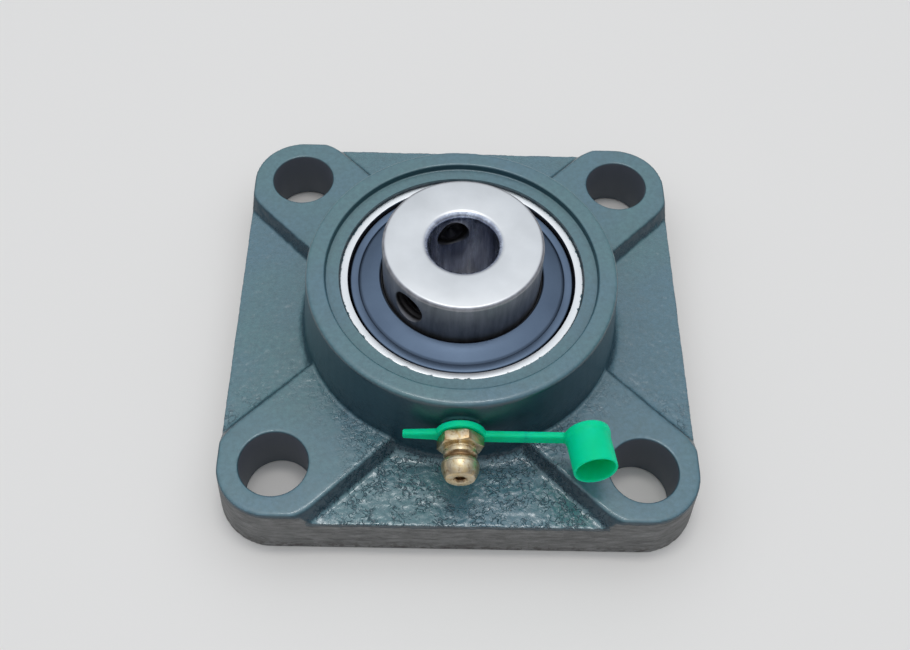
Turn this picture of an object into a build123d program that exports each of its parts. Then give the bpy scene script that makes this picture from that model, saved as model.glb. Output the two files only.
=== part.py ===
from build123d import *
import math
import os

# Square four-bolt flange bearing unit with a self-aligning ball bearing insert.
# Origin: centre of the mounting face. +Z is the bearing axis, away from the mounting face.
# The grease nipple stands out of the hub along -Y. All lengths are in millimetres.

# Flange housing
FLANGE_SIDE = 85.0
BOLT_SPACING = 64.0
BOLT_HOLE_RADIUS = 6.0
LUG_HEIGHT = 11.5
POCKET_HEIGHT = 9.0
SIDE_DRAFT = 3.5
WEB_HALF_WIDTH = 10.4
WEB_FOOT_SPREAD = 1.6
HUB_HEIGHT = 25.5
HUB_TOP_RADIUS = 27.8
HUB_FOOT_RADIUS = 29.3
HUB_FOOT_FILLET = 2.2
HUB_RIM_FILLET = 0.7
RIM_RECESS_RADIUS = 24.4
RIM_RECESS_DEPTH = 1.3
BACK_RECESS_RADIUS = 25.5
BACK_RECESS_DEPTH = 2.0
WALL_OVERLAP = 1.0

# Bearing insert
BEARING_HEIGHT = 15.0
SEAT_SPHERE_RADIUS = 23.5
SEAT_CLEARANCE = 0.05
OUTER_RING_WIDTH = 17.0
OUTER_LAND_RADIUS = 19.3
INNER_RING_RADIUS = 14.1
INNER_RING_BACK = 2.3
INNER_RING_LENGTH = 31.0
SHAFT_BORE_RADIUS = 6.0
BORE_CHAMFER = 1.1
BALL_COUNT = 8
BALL_RADIUS = 7.938 / 2
PITCH_RADIUS = 16.75
BALL_CLEARANCE = 0.015
INNER_GROOVE_RADIUS = 4.13
OUTER_GROOVE_RADIUS = 4.20
LOADING_SLOT_WIDTH = 17.6

# Seals and shields, heights counted from the bearing centre
SEAL_SEAT_RADIUS = 20.45
SEAL_SEAT_HEIGHT = 5.9
SNAP_GROOVE_RADIUS = 20.95
SNAP_GROOVE_LOW = 6.5
SNAP_GROOVE_HIGH = 7.3
SEAL_LIP_CLEARANCE = 0.03

# Cage
CAGE_INNER_RADIUS = 15.3
CAGE_OUTER_RADIUS = 18.2
CAGE_SHEET = 0.7
CAGE_POCKET_CLEARANCE = 0.11
RIVET_RADIUS = 0.55
RIVET_HEAD_RADIUS = 0.95
RIVET_HEAD_HEIGHT = 0.4
RIVET_HOLE_CLEARANCE = 0.05

# Set screws
SCREW_RADIUS = 2.92
SCREW_HOLE_RADIUS = 3.0
SCREW_LENGTH = 6.0
SCREW_TIP_DISTANCE = 6.35
SCREW_FROM_END = 5.0
SCREW_AZIMUTHS = (228.0, 108.0)
THREAD_PITCH = 1.0
THREAD_DEPTH = 0.3

# Grease nipple, distances counted from the bearing axis along -Y
NIPPLE_HEIGHT = 18.8
NIPPLE_SHANK_RADIUS = 2.95
NIPPLE_HOLE_RADIUS = 3.0
NIPPLE_SHANK_START = 25.0
NIPPLE_HEX_START = 30.35
NIPPLE_HEX_END = 32.3
NIPPLE_HEX_FLATS = 7.0
NIPPLE_HEX_TURN = 11.0
NIPPLE_COLLAR_RADIUS = 2.7
NIPPLE_COLLAR_END = 33.9
NIPPLE_NECK_RADIUS = 2.4
NIPPLE_TIP = 37.9
NIPPLE_FACE_RADIUS = 2.3
NIPPLE_HEAD_RADIUS = 3.2
NIPPLE_CHANNEL_RADIUS = 1.3
NIPPLE_MOUTH_RADIUS = 0.85
CHECK_BALL_RADIUS = 1.15
SPRING_WIRE_RADIUS = 0.15
SPRING_COIL_RADIUS = 0.95
SPRING_TURNS = 5
GREASE_GROOVE_WIDTH = 2.2
GREASE_GROOVE_RADIUS = 23.9
GREASE_HOLE_RADIUS = 0.8

# Dust cap moulding: ring, pull tab, strap and cap
CAP_PLANE = -29.0
CAP_RING_RADIUS = 4.25
CAP_RING_HOLE_RADIUS = 3.05
CAP_RING_THICKNESS = 1.2
TAB_REACH = 9.8
TAB_ROOT_HEIGHT = 2.8
TAB_TIP_HEIGHT = 1.7
STRAP_THICKNESS = 1.1
STRAP_HEIGHT = 2.4
STRAP_ROOT = 5.6
STRAP_END = 16.4
STRAP_LEVEL = 18.6
STRAP_PLANE = -29.75
HINGE_GAP = 0.06
CAP_AXIS = 21.2
CAP_LEVEL = 19.3
CAP_LENGTH = 7.6
CAP_RADIUS = 3.75
CAP_BORE_RADIUS = 3.25
CAP_FLOOR = 1.2
CAP_FLARE_RADIUS = 3.95
CAP_YAW = 8.0
CAP_PITCH = 6.0


def turned(outline):
    """Solid of revolution about Z from a face drawn with x as radius and y as height."""
    return revolve(Plane.XZ * outline, axis=Axis.Z)


def ring_section(inner, outer, low, high):
    """Rectangle in the radius-height plane."""
    centre = Pos((inner + outer) / 2, (low + high) / 2)
    return centre * Rectangle(outer - inner, high - low)


def tube(inner, outer, low, high):
    return turned(ring_section(inner, outer, low, high))


def outline_face(*corners):
    return make_face(Polyline(*corners, close=True))


def rounded(face, corner, radius):
    """Rounds the corner of a face that lies nearest to the given point."""
    near = face.vertices().sort_by_distance(Vector(*corner))[0]
    return fillet(near, radius)


def radial(azimuth, height):
    """Place whose z axis points outwards from the bearing axis."""
    angle = math.radians(azimuth)
    outwards = Vector(math.cos(angle), math.sin(angle), 0)
    return Location(Plane(origin=(0, 0, height), x_dir=(0, 0, 1), z_dir=outwards))


def mirrored_to_back(part):
    """Copy on the other side of the bearing's centre plane."""
    return mirror(part, about=Plane.XY.offset(BEARING_HEIGHT))


# Housing

def flange_body():
    """Drafted square flange with four lugs and the diagonal webs, still solid."""
    square = RectangleRounded(FLANGE_SIDE, FLANGE_SIDE, FLANGE_SIDE / 2 - BOLT_SPACING / 2)
    envelope = extrude(square, amount=LUG_HEIGHT, taper=SIDE_DRAFT)
    cut_size = 2 * FLANGE_SIDE
    plate = envelope & Pos(0, 0, POCKET_HEIGHT - cut_size / 2) * Box(cut_size, cut_size, cut_size)
    step = LUG_HEIGHT - POCKET_HEIGHT
    step_taper = math.degrees(math.atan2(WEB_FOOT_SPREAD, step))
    web_width = 2 * (WEB_HALF_WIDTH + WEB_FOOT_SPREAD)
    slot = SlotCenterToCenter(BOLT_SPACING * math.sqrt(2), web_width)
    web = Pos(0, 0, POCKET_HEIGHT) * extrude(slot, amount=step, taper=step_taper)
    for angle in (45, 135):
        plate += (Rot(0, 0, angle) * web) & envelope
    return plate


def hub_body():
    """Round hub with a filleted foot and a rounded rim."""
    foot_edge = HUB_FOOT_RADIUS + 2 * HUB_FOOT_FILLET
    section = outline_face(
        (0, WALL_OVERLAP),
        (foot_edge, WALL_OVERLAP),
        (foot_edge, POCKET_HEIGHT),
        (HUB_FOOT_RADIUS, POCKET_HEIGHT),
        (HUB_TOP_RADIUS, HUB_HEIGHT),
        (0, HUB_HEIGHT),
    )
    section = rounded(section, (HUB_FOOT_RADIUS, POCKET_HEIGHT), HUB_FOOT_FILLET)
    section = rounded(section, (HUB_TOP_RADIUS, HUB_HEIGHT), HUB_RIM_FILLET)
    return turned(section)


def seat_cavity():
    """Everything that is open inside the hub: seat, loading slots, recesses and grease groove."""
    seat_radius = SEAT_SPHERE_RADIUS
    half_width = OUTER_RING_WIDTH / 2
    mouth = math.sqrt(seat_radius**2 - half_width**2)
    recess_floor = HUB_HEIGHT - RIM_RECESS_DEPTH
    cavity = Pos(0, 0, BEARING_HEIGHT) * Sphere(seat_radius)
    cavity += tube(0, RIM_RECESS_RADIUS, recess_floor, HUB_HEIGHT + WALL_OVERLAP)
    cavity += turned(outline_face(
        (0, BEARING_HEIGHT + half_width),
        (mouth, BEARING_HEIGHT + half_width),
        (mouth + 0.4, recess_floor),
        (0, recess_floor),
    ))
    cavity += tube(0, mouth, -WALL_OVERLAP, BEARING_HEIGHT - half_width)
    back_section = outline_face(
        (0, -WALL_OVERLAP),
        (BACK_RECESS_RADIUS + WALL_OVERLAP, -WALL_OVERLAP),
        (BACK_RECESS_RADIUS, 0),
        (BACK_RECESS_RADIUS - 0.5, BACK_RECESS_DEPTH),
        (0, BACK_RECESS_DEPTH),
    )
    cavity += turned(back_section)
    slot_depth = BEARING_HEIGHT + WALL_OVERLAP
    slot_disc = tube(0, seat_radius, -WALL_OVERLAP, BEARING_HEIGHT)
    slot_box = Pos(0, 0, slot_depth / 2 - WALL_OVERLAP) * Box(
        2 * FLANGE_SIDE, LOADING_SLOT_WIDTH, slot_depth)
    cavity += slot_disc & slot_box
    groove_low = NIPPLE_HEIGHT - GREASE_GROOVE_WIDTH / 2
    groove_high = NIPPLE_HEIGHT + GREASE_GROOVE_WIDTH / 2
    cavity += tube(SEAT_SPHERE_RADIUS - 2, GREASE_GROOVE_RADIUS, groove_low, groove_high)
    return cavity


def flange_housing():
    housing = flange_body() + hub_body()
    housing -= seat_cavity()
    reach = BOLT_SPACING / 2
    for x in (-reach, reach):
        for y in (-reach, reach):
            housing -= Pos(x, y, LUG_HEIGHT / 2) * Cylinder(BOLT_HOLE_RADIUS, 2 * LUG_HEIGHT)
    hole_start = NIPPLE_SHANK_START - 0.4
    hole_length = HUB_FOOT_RADIUS + WALL_OVERLAP - hole_start
    drilling = Cylinder(NIPPLE_HOLE_RADIUS, hole_length, align=(Align.CENTER, Align.CENTER, Align.MIN))
    inlet = Cylinder(NIPPLE_CHANNEL_RADIUS, 2, align=(Align.CENTER, Align.CENTER, Align.MIN))
    place = radial(-90, NIPPLE_HEIGHT)
    housing -= place * Pos(0, 0, hole_start) * drilling
    housing -= place * Pos(0, 0, hole_start - 1.5) * inlet
    return housing


# Bearing insert

def outer_ring():
    half_width = OUTER_RING_WIDTH / 2
    sphere_radius = SEAT_SPHERE_RADIUS - SEAT_CLEARANCE
    face_radius = math.sqrt(sphere_radius**2 - half_width**2)
    section = Circle(sphere_radius) & ring_section(0, sphere_radius + 1, -half_width, half_width)
    section -= ring_section(0, OUTER_LAND_RADIUS, -half_width, half_width)
    groove_centre = PITCH_RADIUS + BALL_RADIUS + BALL_CLEARANCE - OUTER_GROOVE_RADIUS
    section -= Pos(groove_centre, 0) * Circle(OUTER_GROOVE_RADIUS)
    for side in (-1, 1):
        low, high = sorted((side * SEAL_SEAT_HEIGHT, side * half_width))
        section -= ring_section(0, SEAL_SEAT_RADIUS, low, high)
        low, high = sorted((side * SNAP_GROOVE_LOW, side * SNAP_GROOVE_HIGH))
        section -= ring_section(0, SNAP_GROOVE_RADIUS, low, high)
    for side in (-1, 1):
        corner = section.vertices().sort_by_distance(Vector(face_radius, side * half_width))[0]
        section = chamfer(corner, 0.25)
    ring = Pos(0, 0, BEARING_HEIGHT) * turned(section)
    for azimuth in (-90, 90):
        ring -= radial(azimuth, NIPPLE_HEIGHT) * Pos(0, 0, OUTER_LAND_RADIUS) * Cylinder(
            GREASE_HOLE_RADIUS, 12)
    return ring


def threaded_hole():
    """Radial drilling with thread-like grooves, along its own z axis from the bore outwards."""
    length = INNER_RING_RADIUS + 2
    hole = Cylinder(SCREW_HOLE_RADIUS, length, align=(Align.CENTER, Align.CENTER, Align.MIN))
    first = SHAFT_BORE_RADIUS + 0.9
    turns = int((INNER_RING_RADIUS - first - 0.4) / THREAD_PITCH) + 1
    for index in range(turns):
        centre = first + index * THREAD_PITCH
        groove = outline_face(
            (SCREW_HOLE_RADIUS - 0.2, centre - 0.45),
            (SCREW_HOLE_RADIUS + THREAD_DEPTH, centre),
            (SCREW_HOLE_RADIUS - 0.2, centre + 0.45),
        )
        hole += turned(groove)
    return hole


def inner_ring():
    low = INNER_RING_BACK
    high = INNER_RING_BACK + INNER_RING_LENGTH
    section = ring_section(SHAFT_BORE_RADIUS, INNER_RING_RADIUS, low, high)
    for height in (low, high):
        bore_corner = section.vertices().sort_by_distance(Vector(SHAFT_BORE_RADIUS, height))[0]
        section = chamfer(bore_corner, BORE_CHAMFER)
    section = rounded(section, (INNER_RING_RADIUS, low), 0.6)
    section = rounded(section, (INNER_RING_RADIUS, high), 0.8)
    groove_centre = PITCH_RADIUS - BALL_RADIUS - BALL_CLEARANCE + INNER_GROOVE_RADIUS
    section -= Pos(groove_centre, BEARING_HEIGHT) * Circle(INNER_GROOVE_RADIUS)
    ring = turned(section)
    for azimuth in SCREW_AZIMUTHS:
        ring -= radial(azimuth, high - SCREW_FROM_END) * threaded_hole()
    return ring


def set_screw():
    """Hexagon socket grub screw with a cup point, tip down on its own z axis."""
    crest, root = SCREW_RADIUS, SCREW_RADIUS - THREAD_DEPTH
    corners = [(0, 0), (root - 0.5, 0), (root, 0.5)]
    turns = int((SCREW_LENGTH - 1.0) / THREAD_PITCH)
    for index in range(turns):
        base = 0.5 + index * THREAD_PITCH
        corners.append((crest, base + 0.4))
        corners.append((crest, base + 0.6))
        corners.append((root, base + THREAD_PITCH))
    corners.append((root - 0.4, SCREW_LENGTH))
    corners.append((0, SCREW_LENGTH))
    screw = turned(outline_face(*corners))
    screw -= turned(outline_face((0, -0.1), (1.7, -0.1), (0, 1.0)))
    socket = RegularPolygon(1.5, 6, major_radius=False)
    screw -= Pos(0, 0, SCREW_LENGTH - 3.0) * extrude(socket, amount=4.0)
    return screw


def ball_azimuth(index):
    return (index + 0.5) * 360 / BALL_COUNT


def ball_place(index):
    angle = math.radians(ball_azimuth(index))
    return Pos(PITCH_RADIUS * math.cos(angle), PITCH_RADIUS * math.sin(angle), BEARING_HEIGHT)


def rivet_places():
    for index in range(BALL_COUNT):
        yield Rot(0, 0, index * 360 / BALL_COUNT) * Pos(PITCH_RADIUS, 0, BEARING_HEIGHT)


def cage_half():
    """Front half of the pressed ribbon cage: pockets over the balls, lands between them."""
    pocket_radius = BALL_RADIUS + CAGE_POCKET_CLEARANCE
    ribbon = tube(CAGE_INNER_RADIUS, CAGE_OUTER_RADIUS, BEARING_HEIGHT, BEARING_HEIGHT + CAGE_SHEET)
    band = tube(CAGE_INNER_RADIUS, CAGE_OUTER_RADIUS, BEARING_HEIGHT, BEARING_HEIGHT + 3 * BALL_RADIUS)
    for index in range(BALL_COUNT):
        ribbon += (ball_place(index) * Sphere(pocket_radius + CAGE_SHEET)) & band
    for index in range(BALL_COUNT):
        ribbon -= ball_place(index) * Sphere(pocket_radius)
    for place in rivet_places():
        ribbon -= place * Cylinder(RIVET_RADIUS + RIVET_HOLE_CLEARANCE, 4 * CAGE_SHEET)
    return ribbon


def cage_rivets():
    rivet = Cylinder(RIVET_RADIUS, 2 * CAGE_SHEET)
    for side in (-1, 1):
        head_centre = side * (CAGE_SHEET + RIVET_HEAD_HEIGHT / 2)
        rivet += Pos(0, 0, head_centre) * Cylinder(RIVET_HEAD_RADIUS, RIVET_HEAD_HEIGHT)
    return Compound(children=[place * rivet for place in rivet_places()])


def shield():
    """Front pressed steel shield: rim in the snap groove, flat band, bead, rising inner cone."""
    section = outline_face(
        (20.85, 6.65), (20.85, 7.15), (20.45, 7.2), (20.2, 7.85), (20.0, 8.0), (18.6, 8.0),
        (18.4, 7.8), (18.1, 7.95), (16.5, 8.55), (14.8, 8.95), (14.75, 8.55), (16.4, 8.15),
        (18.0, 7.5), (18.4, 7.35), (18.7, 7.5), (19.8, 7.5), (20.0, 6.7), (20.3, 6.65),
    )
    return Pos(0, 0, BEARING_HEIGHT) * turned(section)


def seal():
    """Front nitrile lip seal under the shield, its lip running on the inner ring."""
    lip_radius = INNER_RING_RADIUS + SEAL_LIP_CLEARANCE
    section = outline_face(
        (20.35, 5.95), (20.35, 6.45), (19.2, 6.5), (17.6, 7.0), (15.2, 7.3), (14.6, 8.2),
        (lip_radius + 0.1, 8.3), (lip_radius, 8.0), (14.5, 7.0), (15.0, 6.45), (17.4, 6.3),
        (18.8, 5.95),
    )
    return Pos(0, 0, BEARING_HEIGHT) * turned(section)


# Grease nipple

def grease_nipple():
    root = NIPPLE_SHANK_RADIUS - THREAD_DEPTH
    corners = [(0, NIPPLE_SHANK_START), (root, NIPPLE_SHANK_START)]
    thread_turns = 3
    for index in range(thread_turns):
        base = NIPPLE_SHANK_START + 0.2 + index * THREAD_PITCH
        corners.append((NIPPLE_SHANK_RADIUS, base + 0.4))
        corners.append((NIPPLE_SHANK_RADIUS, base + 0.6))
        corners.append((root, base + THREAD_PITCH))
    corners += [
        (NIPPLE_SHANK_RADIUS, NIPPLE_HEX_START - 1.6),
        (NIPPLE_SHANK_RADIUS, NIPPLE_HEX_START + 0.1),
        (NIPPLE_COLLAR_RADIUS, NIPPLE_HEX_START + 0.1),
        (NIPPLE_COLLAR_RADIUS, NIPPLE_COLLAR_END),
        (NIPPLE_NECK_RADIUS, NIPPLE_COLLAR_END + 0.3),
        (NIPPLE_NECK_RADIUS, NIPPLE_COLLAR_END + 0.5),
        (NIPPLE_HEAD_RADIUS - 0.15, NIPPLE_COLLAR_END + 1.2),
        (NIPPLE_HEAD_RADIUS, NIPPLE_COLLAR_END + 1.6),
        (NIPPLE_HEAD_RADIUS - 0.08, NIPPLE_TIP - 1.6),
        (NIPPLE_HEAD_RADIUS - 0.4, NIPPLE_TIP - 0.6),
        (NIPPLE_FACE_RADIUS, NIPPLE_TIP),
        (0, NIPPLE_TIP),
    ]
    body = turned(outline_face(*corners))
    hex_length = NIPPLE_HEX_END - NIPPLE_HEX_START
    hexagon = RegularPolygon(NIPPLE_HEX_FLATS / 2, 6, major_radius=False, rotation=NIPPLE_HEX_TURN)
    corner_radius = NIPPLE_HEX_FLATS / math.sqrt(3)
    turned_corners = turned(outline_face(
        (0, NIPPLE_HEX_START),
        (corner_radius - 0.35, NIPPLE_HEX_START),
        (corner_radius, NIPPLE_HEX_START + 0.25),
        (corner_radius, NIPPLE_HEX_END - 0.25),
        (corner_radius - 0.5, NIPPLE_HEX_END),
        (0, NIPPLE_HEX_END),
    ))
    body += (Pos(0, 0, NIPPLE_HEX_START) * extrude(hexagon, amount=hex_length)) & turned_corners
    channel = outline_face(
        (0, NIPPLE_SHANK_START - 1),
        (0.8, NIPPLE_SHANK_START - 1),
        (0.8, spring_foot()),
        (NIPPLE_CHANNEL_RADIUS, spring_foot()),
        (NIPPLE_CHANNEL_RADIUS, ball_seat()),
        (NIPPLE_MOUTH_RADIUS, ball_seat()),
        (NIPPLE_MOUTH_RADIUS, NIPPLE_TIP - 0.25),
        (NIPPLE_MOUTH_RADIUS + 0.35, NIPPLE_TIP + 0.1),
        (0, NIPPLE_TIP + 0.1),
    )
    body -= turned(channel)
    return radial(-90, NIPPLE_HEIGHT) * body


def ball_seat():
    """Distance of the shoulder that the check ball seats on."""
    return NIPPLE_TIP - 1.5


def spring_foot():
    """Distance of the shoulder that the spring stands on."""
    return NIPPLE_HEX_START + 0.1


def check_ball_distance():
    reach = math.sqrt(CHECK_BALL_RADIUS**2 - NIPPLE_MOUTH_RADIUS**2)
    return ball_seat() - reach - 0.02


def nipple_ball():
    return radial(-90, NIPPLE_HEIGHT) * Pos(0, 0, check_ball_distance()) * Sphere(CHECK_BALL_RADIUS)


def nipple_spring():
    """Compression spring between the shoulder and the check ball."""
    low = spring_foot() + SPRING_WIRE_RADIUS + 0.02
    ball_reach = math.sqrt(CHECK_BALL_RADIUS**2 - SPRING_COIL_RADIUS**2) + SPRING_WIRE_RADIUS
    high = check_ball_distance() - ball_reach - 0.15
    path = Helix((high - low) / SPRING_TURNS, high - low, SPRING_COIL_RADIUS)
    wire_plane = Plane(origin=path @ 0, z_dir=path % 0)
    coil = sweep(wire_plane * Circle(SPRING_WIRE_RADIUS), path=path, is_frenet=True)
    return radial(-90, NIPPLE_HEIGHT) * Pos(0, 0, low) * coil


# Dust cap moulding

def upright(outline, front, thickness):
    """Flat piece drawn as x and height, from the plane y = front and outwards along -Y."""
    face = Plane(origin=(0, front, 0), x_dir=(1, 0, 0), z_dir=(0, -1, 0)) * outline
    return extrude(face, amount=thickness)


def hinge_column(x, radius):
    return Pos(x, STRAP_PLANE, STRAP_LEVEL) * Cylinder(radius, 4 * STRAP_HEIGHT)


def cap_ring():
    """Ring round the nipple's shank, with its pull tab and the lug that the strap hangs from."""
    ring = Pos(0, NIPPLE_HEIGHT) * (Circle(CAP_RING_RADIUS) - Circle(CAP_RING_HOLE_RADIUS))
    tab = outline_face(
        (-TAB_REACH, NIPPLE_HEIGHT - TAB_TIP_HEIGHT / 2),
        (-CAP_RING_RADIUS + 0.5, NIPPLE_HEIGHT - TAB_ROOT_HEIGHT / 2),
        (-CAP_RING_RADIUS + 0.5, NIPPLE_HEIGHT + TAB_ROOT_HEIGHT / 2),
        (-TAB_REACH, NIPPLE_HEIGHT + TAB_TIP_HEIGHT / 2),
    )
    moulding = upright(ring, CAP_PLANE, CAP_RING_THICKNESS)
    moulding += upright(tab, CAP_PLANE, CAP_RING_THICKNESS)
    half_strap = STRAP_THICKNESS / 2
    lug_end = STRAP_ROOT - 0.35
    lug = ring_section(CAP_RING_RADIUS - 0.3, lug_end,
                       STRAP_LEVEL - STRAP_HEIGHT / 2, STRAP_LEVEL + STRAP_HEIGHT / 2)
    moulding += upright(lug, STRAP_PLANE + half_strap, STRAP_THICKNESS)
    moulding -= hinge_column(STRAP_ROOT, half_strap + HINGE_GAP)
    return moulding


def cap_strap():
    """Strap with both ends rounded about its two bending lines."""
    half_strap = STRAP_THICKNESS / 2
    bar = Pos((STRAP_ROOT + STRAP_END) / 2, STRAP_PLANE, STRAP_LEVEL) * Box(
        STRAP_END - STRAP_ROOT, STRAP_THICKNESS, STRAP_HEIGHT)
    for x in (STRAP_ROOT, STRAP_END):
        bar += Pos(x, STRAP_PLANE, STRAP_LEVEL) * Cylinder(half_strap, STRAP_HEIGHT)
    return bar


def cap_frame():
    """Place of the cap: origin at its closed end, z axis out through its mouth."""
    yaw, pitch = math.radians(CAP_YAW), math.radians(CAP_PITCH)
    mouthwards = Vector(
        math.sin(yaw) * math.cos(pitch),
        -math.cos(yaw) * math.cos(pitch),
        math.sin(pitch),
    )
    side = Vector(math.cos(yaw), math.sin(yaw), 0)
    return Location(Plane(origin=(CAP_AXIS, CAP_PLANE, CAP_LEVEL), x_dir=side, z_dir=mouthwards))


def dust_cap():
    """Cup that snaps over the nipple's head, with the lug that joins it to the strap."""
    section = outline_face(
        (0, 0), (CAP_FLARE_RADIUS - 0.25, 0), (CAP_FLARE_RADIUS, 0.25),
        (CAP_FLARE_RADIUS, 1.3), (CAP_RADIUS, 1.7), (CAP_RADIUS, CAP_LENGTH),
        (CAP_BORE_RADIUS, CAP_LENGTH), (CAP_BORE_RADIUS, CAP_FLOOR), (0, CAP_FLOOR),
    )
    cup = cap_frame() * turned(section)
    hollow = cap_frame() * Pos(0, 0, CAP_FLOOR) * Cylinder(
        CAP_BORE_RADIUS, CAP_LENGTH, align=(Align.CENTER, Align.CENTER, Align.MIN))
    half_strap = STRAP_THICKNESS / 2
    lug = ring_section(STRAP_END + 0.35, CAP_AXIS,
                       STRAP_LEVEL - STRAP_HEIGHT / 2, STRAP_LEVEL + STRAP_HEIGHT / 2)
    cup += upright(lug, STRAP_PLANE + half_strap, STRAP_THICKNESS) - hollow
    cup -= hinge_column(STRAP_END, half_strap + HINGE_GAP)
    return cup


def all_parts():
    parts = {
        "flange_housing": flange_housing(),
        "outer_ring": outer_ring(),
        "inner_ring": inner_ring(),
        "cage_rivets": cage_rivets(),
        "grease_nipple": grease_nipple(),
        "nipple_ball": nipple_ball(),
        "nipple_spring": nipple_spring(),
        "cap_ring": cap_ring(),
        "cap_strap": cap_strap(),
        "dust_cap": dust_cap(),
    }
    for name, front in (("cage", cage_half()), ("shield", shield()), ("seal", seal())):
        parts[name + "_front"] = front
        parts[name + "_back"] = mirrored_to_back(front)
    for index in range(BALL_COUNT):
        parts[f"ball_{index + 1}"] = ball_place(index) * Sphere(BALL_RADIUS)
    screw_height = INNER_RING_BACK + INNER_RING_LENGTH - SCREW_FROM_END
    for index, azimuth in enumerate(SCREW_AZIMUTHS):
        place = radial(azimuth, screw_height) * Pos(0, 0, SCREW_TIP_DISTANCE)
        parts[f"set_screw_{index + 1}"] = place * set_screw()
    return parts


def main():
    os.makedirs("parts", exist_ok=True)
    for name, part in all_parts().items():
        export_step(part, f"parts/{name}.step")


main()
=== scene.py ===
"""Looks of a square four-bolt flange bearing unit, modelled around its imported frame.

Everything is in metres, in the frame's own axes: +Z is the shaft's axis, away from the
mounting face, and the grease nipple points along -Y. Sections are drawn in millimetres
as (radius, height) and turned about Z, as on a lathe.
"""
import math

import bmesh
import bpy
import numpy as np
from mathutils import Matrix, Vector


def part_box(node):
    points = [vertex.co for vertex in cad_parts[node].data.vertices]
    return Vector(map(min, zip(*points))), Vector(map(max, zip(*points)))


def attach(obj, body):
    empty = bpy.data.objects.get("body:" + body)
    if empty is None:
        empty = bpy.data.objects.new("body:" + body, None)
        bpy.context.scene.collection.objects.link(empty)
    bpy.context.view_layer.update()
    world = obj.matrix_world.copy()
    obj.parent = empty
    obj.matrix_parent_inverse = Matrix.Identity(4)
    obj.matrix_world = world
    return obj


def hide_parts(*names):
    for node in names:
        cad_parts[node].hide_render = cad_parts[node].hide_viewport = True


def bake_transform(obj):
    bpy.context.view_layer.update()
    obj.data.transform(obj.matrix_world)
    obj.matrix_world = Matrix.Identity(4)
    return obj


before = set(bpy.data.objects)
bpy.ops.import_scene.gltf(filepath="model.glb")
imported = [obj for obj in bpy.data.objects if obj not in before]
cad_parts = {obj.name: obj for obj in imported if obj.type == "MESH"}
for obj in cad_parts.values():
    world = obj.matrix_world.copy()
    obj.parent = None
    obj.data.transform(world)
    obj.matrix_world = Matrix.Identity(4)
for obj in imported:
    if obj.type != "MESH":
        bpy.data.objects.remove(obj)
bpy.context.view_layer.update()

MM = 0.001
FINE_TURN = 192
COARSE_TURN = 96

# Sizes read from the frame, in millimetres
housing_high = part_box("flange_housing")[1] / MM
race_low, race_high = (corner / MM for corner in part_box("outer_ring"))
sleeve_low, sleeve_high = (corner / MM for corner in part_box("inner_ring"))
nipple_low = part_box("grease_nipple")[0] / MM
strap_low, strap_high = (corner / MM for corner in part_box("cap_strap"))
collar_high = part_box("cap_ring")[1] / MM

# The casting
HALF_FLANGE = housing_high.x
BOLT_REACH = 32.0
BOLT_RADIUS = 6.0
LUG_TOP = 11.5
POCKET_FLOOR = 9.0
WEB_HALF_WIDTH = 10.4
HUB_TOP = housing_high.z
HUB_RADIUS = 27.8
HUB_FOOT = 29.3
STEP_DEPTH = 1.3
STEP_FLOOR_EDGE = 24.1
STEP_TOP_EDGE = 24.8
NIPPLE_LEVEL = 18.8
MILLED_BELOW = 0.2
LEVEL_SPAN = 12  # what the stored mask of levels counts as 1
CASTING_VOXEL = 0.32
CASTING_KEEP = 0.43  # share of the casting's triangles left after thinning

# The bearing insert
BEARING_CENTRE = (race_low.z + race_high.z) / 2
HALF_WIDTH = (race_high.z - race_low.z) / 2
RACE_SPHERE = 23.45
SLEEVE_RADIUS = sleeve_high.x
SCREW_DROP = 5.0
SCREW_AZIMUTHS = (228, 108)
SCREW_HOLE = 3.0
SHIELD_BEAD = 18.4
SHIELD_EDGE = 19.95

# The grease nipple and its dust cap
NIPPLE_HEX_TURN = 11
STRAP_THICKNESS = 1.15
MOULDING_VOXEL = 0.13

# The studio: how bright the room is from straight below (0) to its bright side (1), with a
# step at the horizon
ROOM_BRIGHT_SIDE = (-0.05, 0.2, 1.0)
ROOM_SHADES = ((0.0, (0.05, 0.05, 0.05, 1)), (0.5, (0.455, 0.485, 0.525, 1)),
               (0.5, (0.10, 0.10, 0.11, 1)), (0.74, (0.34, 0.36, 0.39, 1)),
               (0.88, (0.80, 0.86, 0.93, 1)))
ROOM_STRENGTH = 1.13
LAMP_POWER = 1.0
LAMP_SIZE = (0.28, 0.10)
LAMP_PLACE = (0.0, 0.09, 0.79)
LAMP_TARGET = (0, 0, 0.01)


# ---------------------------------------------------------------- modelling

def deselect_all():
    """Leaves edit mode, with nothing selected."""
    if bpy.context.mode != "OBJECT":
        bpy.ops.object.mode_set(mode="OBJECT")
    bpy.ops.object.select_all(action="DESELECT")


def make_active(piece):
    deselect_all()
    piece.select_set(True)
    bpy.context.view_layer.objects.active = piece


def edit(piece):
    """Opens the piece in edit mode with all of it selected."""
    make_active(piece)
    bpy.ops.object.mode_set(mode="EDIT")
    bpy.ops.mesh.select_all(action="SELECT")


def close_edit():
    bpy.ops.object.mode_set(mode="OBJECT")


def clean(piece):
    """Merges doubled points and turns the faces outwards."""
    edit(piece)
    bpy.ops.mesh.remove_doubles(threshold=1e-6)
    bpy.ops.mesh.normals_make_consistent(inside=False)
    close_edit()


def select_points(piece, test):
    """Leaves selected, in edit mode, the points whose place in millimetres passes the test."""
    edit(piece)
    bpy.ops.mesh.select_mode(type="VERT")
    bpy.ops.mesh.select_all(action="DESELECT")
    mesh = bmesh.from_edit_mesh(piece.data)
    for point in mesh.verts:
        point.select = bool(test(point.co / MM))
    mesh.select_flush_mode()
    bmesh.update_edit_mesh(piece.data)


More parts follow.
